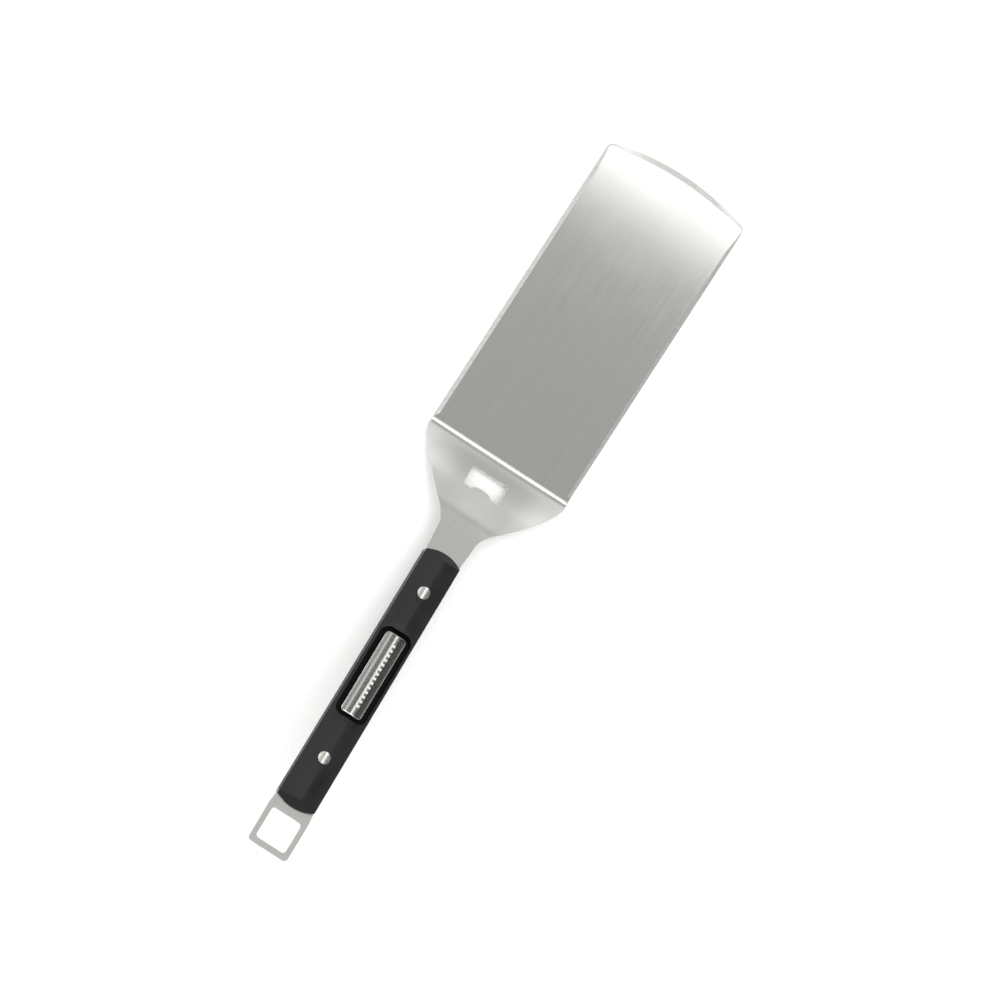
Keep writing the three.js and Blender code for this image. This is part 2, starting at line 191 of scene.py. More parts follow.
class Shell:
    """A closed plate grown from rings of an outline, flat until it is shaped.

    A ring is a closed outline whose points each have a height. Rings of equal length are bridged into a
    wall, and the last rings of the outside and of each hole bound a flat cap.
    """

    def __init__(self) -> None:
        """Start with no geometry."""
        self.mesh = bmesh.new()

    def ring(self, loop: Sequence[Point], heights: Sequence[float]) -> Ring:
        """Add one ring of points with a height each, and return its edges."""
        verts = [self.mesh.verts.new((x, y, z)) for (x, y), z in zip(loop, heights)]
        return [self.mesh.edges.new((verts[i - 1], verts[i])) for i in range(len(verts))]

    def wall(self, loop: Sequence[Point], levels: Sequence[Level], finish: int = 0) -> tuple[Ring, Ring]:
        """Grow a wall from the loop, one ring for each level.

        Args:
            loop: The outline in plan.
            levels: For each ring, what gives a point's inset and its height.
            finish: Material slot of the wall's faces.

        Returns:
            The edges of the first ring and of the last.
        """
        rings = []
        for level in levels:
            pairs = [level(point) for point in loop]
            moved = inset(loop, [depth for depth, _ in pairs])
            rings.append(self.ring(moved, [height for _, height in pairs]))
        for lower, upper in zip(rings, rings[1:]):
            made = bmesh.ops.bridge_loops(self.mesh, edges=lower + upper)
            for face in made["faces"]:
                face.material_index = finish
        return rings[0], rings[-1]

    def cap(self, rings: Iterable[Ring], finish: int = 0) -> None:
        """Fill the area between an outer ring and the rings of its holes."""
        edges = [edge for ring in rings for edge in ring]
        made = bmesh.ops.triangle_fill(self.mesh, use_beauty=True, edges=edges, normal=(0, 0, 1))
        for item in made["geom"]:
            if isinstance(item, bmesh.types.BMFace):
                item.material_index = finish

    def slice(self, axis: Vector, places: Iterable[float]) -> None:
        """Cut every face square to an axis, at each of the places along it."""
        for place in places:
            everything = [*self.mesh.verts, *self.mesh.edges, *self.mesh.faces]
            where = {"plane_co": axis * place, "plane_no": axis}
            bmesh.ops.bisect_plane(self.mesh, geom=everything, dist=TOUCH, **where)

    def shape(self, place: Callable[[Place], Vector]) -> None:
        """Move every point from the flat plate to where it belongs."""
        for vert in self.mesh.verts:
            vert.co = place(tuple(vert.co))


def rounding(radius: float, base: float, top: float) -> list[Level]:
    """Levels of a wall whose lower and upper lips are both rounded.

    Args:
        radius: Radius of the lips.
        base: Height of the plate's underside.
        top: Height of its upper side.

    Returns:
        One level for each ring, from the underside up.
    """
    turns = [math.radians(a) for a in (90, 60, 30, 0)]
    lower = [(radius * (1 - math.cos(a)), base + radius * (1 - math.sin(a))) for a in turns]
    upper = [(radius * (1 - math.cos(a)), top - radius * (1 - math.sin(a))) for a in reversed(turns)]
    return [lambda _, pair=pair: pair for pair in (*lower, *upper)]


def opened(levels: Iterable[Level]) -> list[Level]:
    """The same levels for a hole, whose lips widen where an outside's draw in."""
    return [lambda point, level=level: (-level(point)[0], level(point)[1]) for level in levels]


def finished(
    name: str, mesh: bmesh.types.BMesh, finishes: Sequence[Material], crease: float
) -> bpy.types.Object:
    """Turn a shaped mesh in millimetres into an object of the scene.

    Args:
        name: Name of the piece.
        mesh: Its mesh, which is used up.
        finishes: Its materials, one for each slot.
        crease: Angle in degrees above which an edge stays sharp.

    Returns:
        The object, at the origin, with its place in its mesh.
    """
    bmesh.ops.scale(mesh, vec=(MM, MM, MM), verts=mesh.verts)
    bmesh.ops.recalc_face_normals(mesh, faces=mesh.faces)
    data = bpy.data.meshes.new(name)
    mesh.to_mesh(data)
    mesh.free()
    for finish in finishes:
        data.materials.append(finish)
    for polygon in data.polygons:
        polygon.use_smooth = True
    data.set_sharp_from_angle(angle=math.radians(crease))
    piece = bpy.data.objects.new(name, data)
    bpy.context.scene.collection.objects.link(piece)
    return piece


def install(piece: bpy.types.Object, slot: str, *nodes: str) -> None:
    """Put a piece on the body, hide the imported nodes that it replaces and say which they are."""
    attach(piece, BODY)
    if nodes:
        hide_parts(*nodes)
    LOG.info("%s: %d faces, for %s", piece.name, len(piece.data.polygons), ", ".join(nodes) or "itself")


# ---------------------------------------------------------------- the frame


class Side(Enum):
    """The two faces of the tang."""

    UPPER = 1
    LOWER = -1


@dataclass(frozen=True)
class CrankLine:
    """The sheet's middle line from the side: flat blade, steep shoulder, gentler handle, two round bends."""

    heel_y: float
    handle_slope: float
    sheet: float = 1.8
    shoulder_run: float = 37.5
    shoulder_slope: float = math.radians(19.3)
    heel_radius: float = 14.0
    neck_radius: float = 70.0

    @property
    def neck_z(self) -> float:
        """Height of the middle line at the neck bend."""
        return self.sheet / 2 + self.shoulder_run * math.tan(self.shoulder_slope)

    @property
    def heel_reach(self) -> float:
        """Length of each straight that the heel bend replaces."""
        return self.heel_radius * math.tan(self.shoulder_slope / 2)

    @property
    def neck_centre(self) -> Point:
        """Middle of the neck bend's circle, along the part and up."""
        slope = self.shoulder_slope
        reach = self.neck_radius * math.tan((slope - self.handle_slope) / 2)
        start_y = -self.shoulder_run + reach * math.cos(slope)
        start_z = self.neck_z - reach * math.sin(slope)
        return start_y - self.neck_radius * math.sin(slope), start_z - self.neck_radius * math.cos(slope)

    def bend_lines(self) -> list[float]:
        """Where the bends need a line across the sheet, measured from the heel."""
        heel_steps = 16
        neck_steps = 8
        heel = [
            self.heel_reach - self.heel_radius * math.sin(self.shoulder_slope * i / heel_steps)
            for i in range(heel_steps + 1)
        ]
        turn = self.shoulder_slope - self.handle_slope
        neck = [
            self.neck_centre[0] + self.neck_radius * math.sin(self.handle_slope + turn * i / neck_steps)
            for i in range(neck_steps + 1)
        ]
        return heel + neck

    def middle(self, y: float) -> tuple[float, float]:
        """Height and slope of the middle line.

        Args:
            y: Distance from the heel line towards the tip, in plan.

        Returns:
            The height, and the slope in radians, rising towards the butt.
        """
        neck_y, neck_z = self.neck_centre
        heel_end = self.heel_reach - self.heel_radius * math.sin(self.shoulder_slope)
        neck_start = neck_y + self.neck_radius * math.sin(self.shoulder_slope)
        neck_end = neck_y + self.neck_radius * math.sin(self.handle_slope)
        if y >= self.heel_reach:
            return self.sheet / 2, 0.0
        if y > heel_end:
            slope = math.asin((self.heel_reach - y) / self.heel_radius)
            return self.sheet / 2 + self.heel_radius * (1 - math.cos(slope)), slope
        if y > neck_start:
            return self.sheet / 2 - y * math.tan(self.shoulder_slope), self.shoulder_slope
        if y > neck_end:
            slope = math.asin((y - neck_y) / self.neck_radius)
            return neck_z + self.neck_radius * math.cos(slope), slope
        rise = (-self.shoulder_run - y) * math.tan(self.handle_slope)
        return self.neck_z + rise, self.handle_slope

    def on_sheet(self, place: Place) -> Vector:
        """Bend a point of the flat sheet, whose height runs from 0 to the sheet's thickness."""
        x, y, z = place
        height, slope = self.middle(y)
        above = z - self.sheet / 2
        return Vector((x, self.heel_y + y + above * math.sin(slope), height + above * math.cos(slope)))

    def on_handle(self, place: Place, side: Side) -> Vector:
        """Place a point of a handle piece.

        Args:
            place: Across, along from the neck bend towards the tip, and out from the tang's middle.
            side: The face of the tang that the piece lies on.

        Returns:
            The point in the row frame.
        """
        across = place[0] * side.value
        out = place[2] * side.value
        sine = math.sin(self.handle_slope)
        cosine = math.cos(self.handle_slope)
        y = self.heel_y - self.shoulder_run + place[1] * cosine + out * sine
        return Vector((across, y, self.neck_z - place[1] * sine + out * cosine))


def read_crank(record: dict) -> CrankLine:
    """Work out the sheet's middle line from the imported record."""
    blade_length = 188.0
    tip_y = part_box("blade_and_tang")[1].y / MM
    axis = next(mount["axis"] for mount in record["mounts"] if mount["name"] == "hang_bar")
    return CrankLine(heel_y=tip_y - blade_length, handle_slope=math.atan2(-axis[2], axis[1]))


# ---------------------------------------------------------------- finishes


def linear(code: str) -> tuple[float, float, float, float]:
    """Turn an sRGB hex colour into Blender's linear red, green, blue and alpha."""
    parts = [int(code[i : i + 2], 16) / 255 for i in (1, 3, 5)]
    red, green, blue = [p / 12.92 if p <= 0.04045 else ((p + 0.055) / 1.055) ** 2.4 for p in parts]
    return red, green, blue, 1.0


def add_node(
    tree: bpy.types.NodeTree, kind: str, settings: dict | None = None, inputs: dict | None = None
) -> bpy.types.Node:
    """Add a node with its settings and its links.

    Args:
        tree: The tree that it goes in.
        kind: Its type.
        settings: Its properties by name.
        inputs: Its inputs by name or number; a socket is linked, anything else is set.

    Returns:
        The node.
    """
    node = tree.nodes.new(kind)
    for name, value in (settings or {}).items():
        setattr(node, name, value)
    for name, value in (inputs or {}).items():
        if isinstance(value, Socket):
            tree.links.new(value, node.inputs[name])
        else:
            node.inputs[name].default_value = value
    return node


class NodeMaker:
    """A node tree with the few moves that every finish and the room are made from."""

    def __init__(self, owner: Material | bpy.types.World, coordinates: str) -> None:
        """Clear the owner's tree and read one kind of coordinates."""
        owner.use_nodes = True
        self.tree = owner.node_tree
        self.tree.nodes.clear()
        self.place = add_node(self.tree, "ShaderNodeTexCoord").outputs[coordinates]

    def span(self, value: Socket, low: float, high: float, first: float, last: float) -> Socket:
        """Map a value smoothly from [low, high] to [first, last] and hold it at both ends."""
        inputs = {"Value": value, "From Min": low, "From Max": high, "To Min": first, "To Max": last}
        settings = {"interpolation_type": "SMOOTHSTEP"}
        return add_node(self.tree, "ShaderNodeMapRange", settings, inputs).outputs[0]

    def band(self, value: Socket, rise: Point, fall: Point, height: float) -> Socket:
        """Lift the stretch of a value between its rise from 0 and its fall back to 0."""
        return self.math("MULTIPLY", self.span(value, *rise, 0, height), self.span(value, *fall, 1, 0))

    def math(self, operation: str, first: Socket | float, second: Socket | float = 0.0) -> Socket:
        """Work on one or two values."""
        inputs = {0: first, 1: second}
        return add_node(self.tree, "ShaderNodeMath", {"operation": operation}, inputs).outputs[0]

    def add(self, first: Socket | float, second: Socket | float) -> Socket:
        """Add two values."""
        return self.math("ADD", first, second)

    def mix(self, factor: Socket, first: Socket | str, second: Socket | str) -> Socket:
        """Blend two colours, each a socket or a hex code."""
        pair = [linear(c) if isinstance(c, str) else c for c in (first, second)]
        inputs = {0: factor, 6: pair[0], 7: pair[1]}
        return add_node(self.tree, "ShaderNodeMix", {"data_type": "RGBA"}, inputs).outputs[2]

    def parts(self) -> list[Socket]:
        """The coordinates one by one."""
        return list(add_node(self.tree, "ShaderNodeSeparateXYZ", None, {0: self.place}).outputs)


class Pattern(NodeMaker):
    """A procedural material in Object coordinates."""

    def __init__(self, name: str) -> None:
        """Start an empty material."""
        self.material = bpy.data.materials.new(name)
        super().__init__(self.material, "Object")

    def noise(self, spacing: Place, turn: float = 0.0, detail: float = 2.0) -> Socket:
        """Noise whose marks have a real size.

        Args:
            spacing: Typical distance between marks along X, Y and Z, in millimetres.
            turn: Turn of the pattern about Z, in degrees.
            detail: How many finer layers it has.

        Returns:
            A value between 0 and 1.
        """
        mapped = add_node(
            self.tree,
            "ShaderNodeMapping",
            {"vector_type": "TEXTURE"},
            {
                "Vector": self.place,
                "Rotation": (0, 0, math.radians(turn)),
                "Scale": tuple(s * MM for s in spacing),
            },
        )
        inputs = {"Vector": mapped.outputs[0], "Scale": 1.0, "Detail": detail, "Roughness": 0.55}
        return add_node(self.tree, "ShaderNodeTexNoise", None, inputs).outputs["Fac"]

    def bump(self, height: Socket, depth: float, base: Socket | None = None) -> Socket:
        """A bumped normal: `depth` is what a height of 1 stands for, in millimetres."""
        inputs = {"Height": height, "Distance": depth * MM, "Strength": 1.0}
        if base is not None:
            inputs["Normal"] = base
        return add_node(self.tree, "ShaderNodeBump", None, inputs).outputs[0]

    def surface(self, inputs: dict) -> Material:
        """Close the tree with the shader, given its inputs, and return the material."""
        shader = add_node(self.tree, "ShaderNodeBsdfPrincipled", None, inputs)
        add_node(self.tree, "ShaderNodeOutputMaterial", None, {"Surface": shader.outputs[0]})
        return self.material


@dataclass(frozen=True)
class BrushedStainless:
    """Stainless sheet, belt-brushed lengthwise.

    The fine scratches run along the tool, so it scatters light across them and stays sharp along them.
    That draws reflections out sideways into bands. Behind the heel the brushing is coarser and the steel
    duller, with a painted highlight down the shoulder and along its sides.
    """

    heel_y: float
    name: str = "stainless_sheet_brushed"
    light: str = "#cdcdc9"
    dark: str = "#c9cac6"
    slope_highlight: str = "#eeeeec"
    slope_dark: str = "#b9b9b5"
    blade_roughness: float = 0.143
    slope_roughness: float = 0.3
    anisotropy: float = 0.9

    def from_heel(self, pattern: Pattern, start: float, end: float, first: float, last: float) -> Socket:
        """Change a value between two places along the tool, in millimetres from the heel."""
        along = pattern.parts()[1]
        return pattern.span(along, (self.heel_y + start) * MM, (self.heel_y + end) * MM, first, last)

    def slope_colour(self, pattern: Pattern, smudges: Socket) -> Socket:
        """Colour behind the heel: a painted highlight down the shoulder and at its sides, dark again on the
        handle.
        """
        uneven = pattern.span(smudges, 0.3, 0.7, -0.08, 0.08)
        # Painted highlight: lighter down the shoulder and towards its sides, standing in for the lights that
        # the steel mirrors there; the smudges add random unevenness.
        painted_highlight = pattern.add(self.from_heel(pattern, -24, -5, 0.5, 0), uneven)
        painted_highlight = pattern.math("MULTIPLY", painted_highlight, self.from_heel(pattern, -46, -37, 0, 1))
        aside = pattern.math("ABSOLUTE", pattern.parts()[0])
        painted_highlight = pattern.add(painted_highlight, pattern.span(aside, 14 * MM, 42 * MM, 0, 0.4))
        return pattern.mix(pattern.span(painted_highlight, 0, 1, 0, 1), self.slope_dark, self.slope_highlight)

    def build(self) -> Material:
        """Make the material, on a mesh whose UV map "brush" runs across the scratches."""
        pattern = Pattern(self.name)
        # A 240 grit belt leaves lines every 0.05 mm; they are drawn ten times as coarse, or none would show.
        lines = pattern.noise((0.5, 90, 90), detail=3)
        bands = pattern.noise((2.5, 200, 200), detail=2)
        smudges = pattern.noise((28, 34, 30), detail=3)
        rubs = pattern.noise((0.7, 16, 16), turn=24, detail=1)

        tone = pattern.add(pattern.math("MULTIPLY", lines, 0.6), pattern.math("MULTIPLY", bands, 0.4))
        blade = pattern.mix(pattern.span(tone, 0.35, 0.65, 0, 1), self.dark, self.light)
        slope = self.slope_colour(pattern, smudges)
        colour = pattern.mix(self.from_heel(pattern, -6, -1, 1, 0), blade, slope)

        duller = self.from_heel(pattern, -0.6, 2.2, self.slope_roughness, self.blade_roughness)
        smudged = pattern.span(smudges, 0.35, 0.7, -0.006, 0.01)
        wear = pattern.add(pattern.span(lines, 0.3, 0.7, -0.005, 0.005), smudged)
        scuffed = pattern.add(wear, pattern.span(rubs, 0.68, 0.78, 0, 0.012))

        tangent_source = {"direction_type": "UV_MAP", "uv_map": "brush"}
        return pattern.surface({
            "Base Color": colour,
            "Metallic": 1.0,
            "Roughness": pattern.add(duller, scuffed),
            "Anisotropic": self.anisotropy,
            "Tangent": add_node(pattern.tree, "ShaderNodeTangent", tangent_source).outputs[0],
            "Normal": pattern.bump(rubs, 0.0002, pattern.bump(lines, 0.0005)),
        })


@dataclass(frozen=True)
class GroundSteel:
    """Stainless edge, ground square to its length on a belt.

    The grinder leaves short lines across the edge and a brighter, harder shine than the brushed faces.
    """

    name: str = "stainless_edge_ground"
    light: str = "#dcdcd9"
    dark: str = "#c4c5c1"
    roughness: float = 0.34

    def build(self) -> Material:
        """Make the material."""
        pattern = Pattern(self.name)
        # Grinding lines 0.1 mm apart, drawn at 0.4 mm to show.
        lines = pattern.noise((3, 0.4, 3), turn=8, detail=2)
        dents = pattern.noise((2.5, 2.5, 2.5), detail=2)
        colour = pattern.mix(pattern.span(lines, 0.3, 0.7, 0, 1), self.dark, self.light)
        roughness = pattern.add(pattern.span(dents, 0.3, 0.7, -0.05, 0.06), self.roughness)
        return pattern.surface({
            "Base Color": colour,
            "Metallic": 1.0,
            "Roughness": roughness,
            "Normal": pattern.bump(lines, 0.003, pattern.bump(dents, 0.01)),
        })


@dataclass(frozen=True)
class MouldedResin:
    """Black glass-filled resin from a spark-eroded mould.

    The mould leaves a fine even pebble that makes the sheen soft and a little grainy. Handling leaves
    smoother clouds and a few hairlines in it.
    """

    name: str = "black_resin_moulded"
    deep: str = "#121012"
    pale: str = "#1a171a"
    roughness: float = 0.33
    gloss: float = 0.32

    def build(self) -> Material:
        """Make the material."""
        pattern = Pattern(self.name)
        # Spark erosion of about 0.2 mm, drawn at 0.45 mm to show.
        pebble = pattern.noise((0.45, 0.45, 0.45), detail=2)
        cloud = pattern.noise((14, 30, 14), detail=3)
        hairlines = pattern.noise((0.5, 22, 8), turn=-7, detail=1)
        tone = pattern.add(pattern.math("MULTIPLY", pebble, 0.5), pattern.math("MULTIPLY", cloud, 0.5))
        colour = pattern.mix(pattern.span(tone, 0.35, 0.65, 0, 1), self.deep, self.pale)
        handled = pattern.span(cloud, 0.3, 0.7, -0.04, 0.05)
        scuffed = pattern.add(handled, pattern.span(hairlines, 0.7, 0.78, 0, -0.06))
        return pattern.surface({
            "Base Color": colour,
            "Roughness": pattern.add(scuffed, self.roughness),
            "IOR": 1.5,
            "Specular IOR Level": self.gloss,
            "Normal": pattern.bump(pebble, 0.012),
        })


@dataclass(frozen=True)
class PolishedSteel:
    """Stainless trim, polished lengthwise.

    A soft wheel run along it leaves near-mirror steel with faint lines, so a domed piece shows clear
    bright and dark stripes.
    """

    name: str = "stainless_trim_polished"
    light: str = "#dddcd8"
    dark: str = "#d2d1cd"
    roughness: float = 0.2

    def build(self) -> Material:
        """Make the material."""
        pattern = Pattern(self.name)
        # Polishing lines far finer than 0.1 mm, drawn at 0.3 mm to show.
        lines = pattern.noise((0.3, 300, 300), detail=1)
        haze = pattern.noise((2.5, 120, 120), detail=2)
        colour = pattern.mix(pattern.span(lines, 0.3, 0.7, 0, 1), self.dark, self.light)
        hazy = pattern.span(haze, 0.35, 0.7, -0.01, 0.02)
        uneven = pattern.add(pattern.span(lines, 0.3, 0.7, -0.015, 0.015), hazy)
        return pattern.surface({
            "Base Color": colour,
            "Metallic": 1.0,
            "Roughness": pattern.add(uneven, self.roughness),
            "Normal": pattern.bump(lines, 0.0005),
        })


@dataclass(frozen=True)
class FoamPad:
    """Closed-cell adhesive foam: dark grey, dull, with tiny round cells."""

    name: str = "foam_pad_closed_cell"
    light: str = "#4a4a4d"
    dark: str = "#2a2a2c"

    def build(self) -> Material:
        """Make the material."""
        pattern = Pattern(self.name)
        # Cells of about 0.2 mm, drawn at 0.4 mm to show.
        cells = pattern.noise((0.4, 0.4, 0.4), detail=1)
        colour = pattern.mix(pattern.span(cells, 0.35, 0.65, 0, 1), self.dark, self.light)
        return pattern.surface({
            "Base Color": colour,
            "Roughness": pattern.span(cells, 0.3, 0.7, 0.8, 0.95),
            "Normal": pattern.bump(cells, 0.08),
        })


@dataclass(frozen=True)
class PaperSweep:
    """Uncoated white background paper: almost flat, with a barely visible tooth."""

    name: str = "background_paper_uncoated"
    light: str = "#fbfbfa"
    dark: str = "#f4f4f3"

    def build(self) -> Material:
        """Make the material."""
        pattern = Pattern(self.name)
        # The paper's fibres are far finer; they are drawn coarse enough to be seen at all.
        tooth = pattern.noise((1.2, 1.2, 1.2), detail=2)
        colour = pattern.mix(pattern.span(tooth, 0.3, 0.7, 0, 1), self.dark, self.light)
        return pattern.surface({"Base Color": colour, "Roughness": 0.9, "Specular IOR Level": 0.1})


# ---------------------------------------------------------------- the steel sheet


@dataclass(frozen=True)
class SteelSheet:
    """Blade, shoulder, tang and hanging loop in one sheet, with its slot, loop hole and rivet holes.

    Plan sizes are measured from the heel, or along the handle from the neck bend.
    """

    crank: CrankLine
    blade_width: float = 89.4
    blade_length: float = 188.0
    tip_rise: float = 6.8
    tip_corner: float = 4.0
    neck_width: float = 24.4
    tang_front_width: float = 21.7
    tang_rear_width: float = 23.3
    loop_width: float = 25.6
    loop_corner: float = 2.5
    handle_run: float = 211.3
    tip_bevel: float = 3.2
    tip_corner_bevel: float = 0.9
    side_bevel: float = 2.2
    bevel_drop: float = 1.1
    edge_round: float = 0.22
    shoulder_dish: float = 0.3
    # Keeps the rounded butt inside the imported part's length.
    butt_ease: float = 0.2
    waist: Point = (18.7, -35.7)
    fillet_y: float = -47.0
    opener_width: float = 23.1
    opener_start: float = 10.1
    opener_end: float = 21.6
    opener_corner: float = 1.0
    tooth_width: float = 13.0
    tooth_rise: float = 2.3
    loop_hole_width: float = 18.9
    loop_hole_start: float = 192.5
    loop_hole_end: float = 211.6
    loop_hole_corner: float = 1.8
    rivet_hole: float = 2.6

    def handle_y(self, distance: float) -> float:
        """Place in plan, from the heel, of a distance along the handle from the neck bend."""
        return -self.crank.shoulder_run - distance * math.cos(self.crank.handle_slope)

    def right_edge(self) -> list[Point]:
        """The right half of the outline, from the middle of the tip to the middle of the butt."""
        half = self.blade_width / 2
        neck = self.neck_width / 2
        loop = self.loop_width / 2
        butt = -self.crank.shoulder_run - self.handle_run + self.butt_ease

        # The corner's circle touches the side and the tip's arc from within.
        radius = (half**2 + self.tip_rise**2) / (2 * self.tip_rise)
        centre_y = self.blade_length - radius
        corner_x = half - self.tip_corner
        corner_y = centre_y + math.sqrt((radius - self.tip_corner) ** 2 - corner_x**2)
        touch = math.atan2(corner_y - centre_y, corner_x)
        tip = arc((0, centre_y), radius, math.pi / 2, touch, 24)
        corner = arc((corner_x, corner_y), self.tip_corner, touch, 0, 10)

        # Closer points where the ground bevel runs out at the heel, then the full curve and hollow fillet.
        fade = (half, 9.0)
        heel = (half, -1.5)
        side = line((half, corner_y), fade, 12) + line(fade, heel, 14)
        waist = curve([heel, (half, -9), (28.4, -27.5), self.waist], 28)
        fillet = curve([self.waist, (neck, -42.2), (neck, self.fillet_y)], 12)
        taper = [
            (self.tang_front_width / 2, self.handle_y(28.1)),
            (self.tang_rear_width / 2, self.handle_y(181.2)),
            (loop, self.handle_y(190.5)),
        ]
        corner_centre = (loop - self.loop_corner, butt + self.loop_corner)
        end = arc(corner_centre, self.loop_corner, 0, -math.pi / 2, 8)
        return tip + corner[1:] + side[1:] + waist[1:] + fillet[1:] + taper + end + [(0, butt)]

    def outline(self) -> list[Point]:
        """The whole outline, anticlockwise."""
        return mirrored(self.right_edge())[::-1]

    def opener(self) -> list[Point]:
        """The opener's slot: a rectangle with an arched tooth standing into it from the neck's side."""
        half = self.opener_width / 2
        low = -self.opener_end * math.cos(self.crank.shoulder_slope)
        high = -self.opener_start * math.cos(self.crank.shoulder_slope)
        corner = self.opener_corner
        tooth = self.tooth_width / 2
        flank = tooth * 0.75
        # A cubic rises three quarters of the way to its two middle controls.
        arch = low + self.tooth_rise / 0.75
        points = curve([(-tooth, low), (-flank, arch), (flank, arch), (tooth, low)], 16)
        quarter = math.pi / 2
        corners = [(1, low, 1), (1, high, -1), (-1, high, -1), (-1, low, 1)]
        for turn, (side, edge, inwards) in enumerate(corners):
            centre = (side * (half - corner), edge + inwards * corner)
            points += arc(centre, corner, (turn - 1) * quarter, turn * quarter, 6)
        return points

    def holes(self) -> list[list[Point]]:
        """Every hole through the sheet: the opener, the loop's square and the two rivets'."""
        front = self.handle_y(self.loop_hole_start)
        rear = self.handle_y(self.loop_hole_end)
        loop = rounded_box(self.loop_hole_width, front - rear, self.loop_hole_corner, (front + rear) / 2)
        rivets = [circle(self.rivet_hole, self.handle_y(distance)) for distance in RIVET_PLACES]
        return [self.opener(), loop, *rivets]

    def on_blade(self, point: Point) -> float:
        """1 on the blade's outline, falling to 0 just before the heel line."""
        return smooth_step(1.0, 6.0, point[1])

    def grind_width(self, point: Point) -> float:
        """How far the ground bevel reaches in from the outline."""
        x, y = point
        half = self.blade_width / 2
        across = min(abs(x) / half, 1.0)
        at_tip = self.tip_bevel + (self.tip_corner_bevel - self.tip_bevel) * across**3
        corner_y = self.blade_length - self.tip_rise
        past_corner = smooth_step(corner_y - 3, corner_y - 12, y)
        if abs(x) > half - 0.01:
            return self.tip_corner_bevel + (self.side_bevel - self.tip_corner_bevel) * past_corner
        return at_tip

    def levels(self) -> list[Level]:
        """The wall's rings from the underside up: rounded below, ground to a bevel above on the blade."""
        soft = self.edge_round
        top = self.crank.sheet
        near = soft * 0.3
        # On the blade the bevel starts this much above the upright edge, and this much and `near` in from it.
        step_up = 0.08
        step_in = 0.06

        def edge(point: Point) -> Point:
            """Top of the upright edge."""
            return 0.0, top - max(self.bevel_drop * self.on_blade(point), soft)

        def shoulder(point: Point) -> Point:
            """Start of the bevel, a little in from the edge."""
            drop = max((self.bevel_drop - step_up) * self.on_blade(point), near)
            return near + step_in * self.on_blade(point), top - drop

        def face(point: Point) -> Point:
            """Where the bevel meets the face."""
            return max(self.grind_width(point) * self.on_blade(point), soft), top

        under = [lambda _: (soft, 0.0), lambda _: (near, near), lambda _: (0.0, soft)]
        return [*under, edge, shoulder, face]

    def dished(self, place: Place) -> Place:
        """Let the shoulder's sides rise a little towards its widest part, as the press leaves them."""
        x, y, z = place
        # It grows evenly for 20 mm behind the heel and is gone again by 44 mm, in the neck.
        amount = min(max(-y / 16, 0), 1.3) * (1 - smooth_step(-20, -44, y))
        return x, y, z + self.shoulder_dish * amount * (x / 30) ** 2

    def build(self, brushed: Material, ground: Material) -> bpy.types.Object:
        """Build the sheet and install it.

        Args:
            brushed: Finish of its faces.
            ground: Finish of its edges.

        Returns:
            The piece.
        """
        shell = Shell()
        low, high = shell.wall(self.outline(), self.levels(), finish=1)
        lows = [low]
        highs = [high]
        for hole in self.holes():
            levels = opened(rounding(self.edge_round, 0, self.crank.sheet))
            low, high = shell.wall(hole, levels, finish=1)
            lows.append(low)
            highs.append(high)
        shell.cap(lows)
        shell.cap(highs)
        shell.slice(Vector((0, 1, 0)), [*self.crank.bend_lines(), *range(-46, -4, 3)])
        shell.slice(Vector((1, 0, 0)), range(-42, 43, 4))

        across = shell.mesh.loops.layers.uv.new("brush")
        for face in shell.mesh.faces:
            for corner in face.loops:
                corner[across].uv = (corner.vert.co.x * MM, corner.vert.co.y * MM)
        shell.shape(lambda place: self.crank.on_sheet(self.dished(place)))
        piece = finished("turner_sheet", shell.mesh, [brushed, ground], crease=11)
        install(piece, "sheet_steel", "blade_and_tang")
        return piece


# ---------------------------------------------------------------- the handle


# Height of the flat state's upper side; a piece's own dome replaces it when the piece is shaped.
FLAT_TOP = 100.0


def domed(height: float, top: float) -> float:
    """Height of a flat-state point once `top` has replaced the flat upper side."""
    return height if height < FLAT_TOP / 2 else top + height - FLAT_TOP


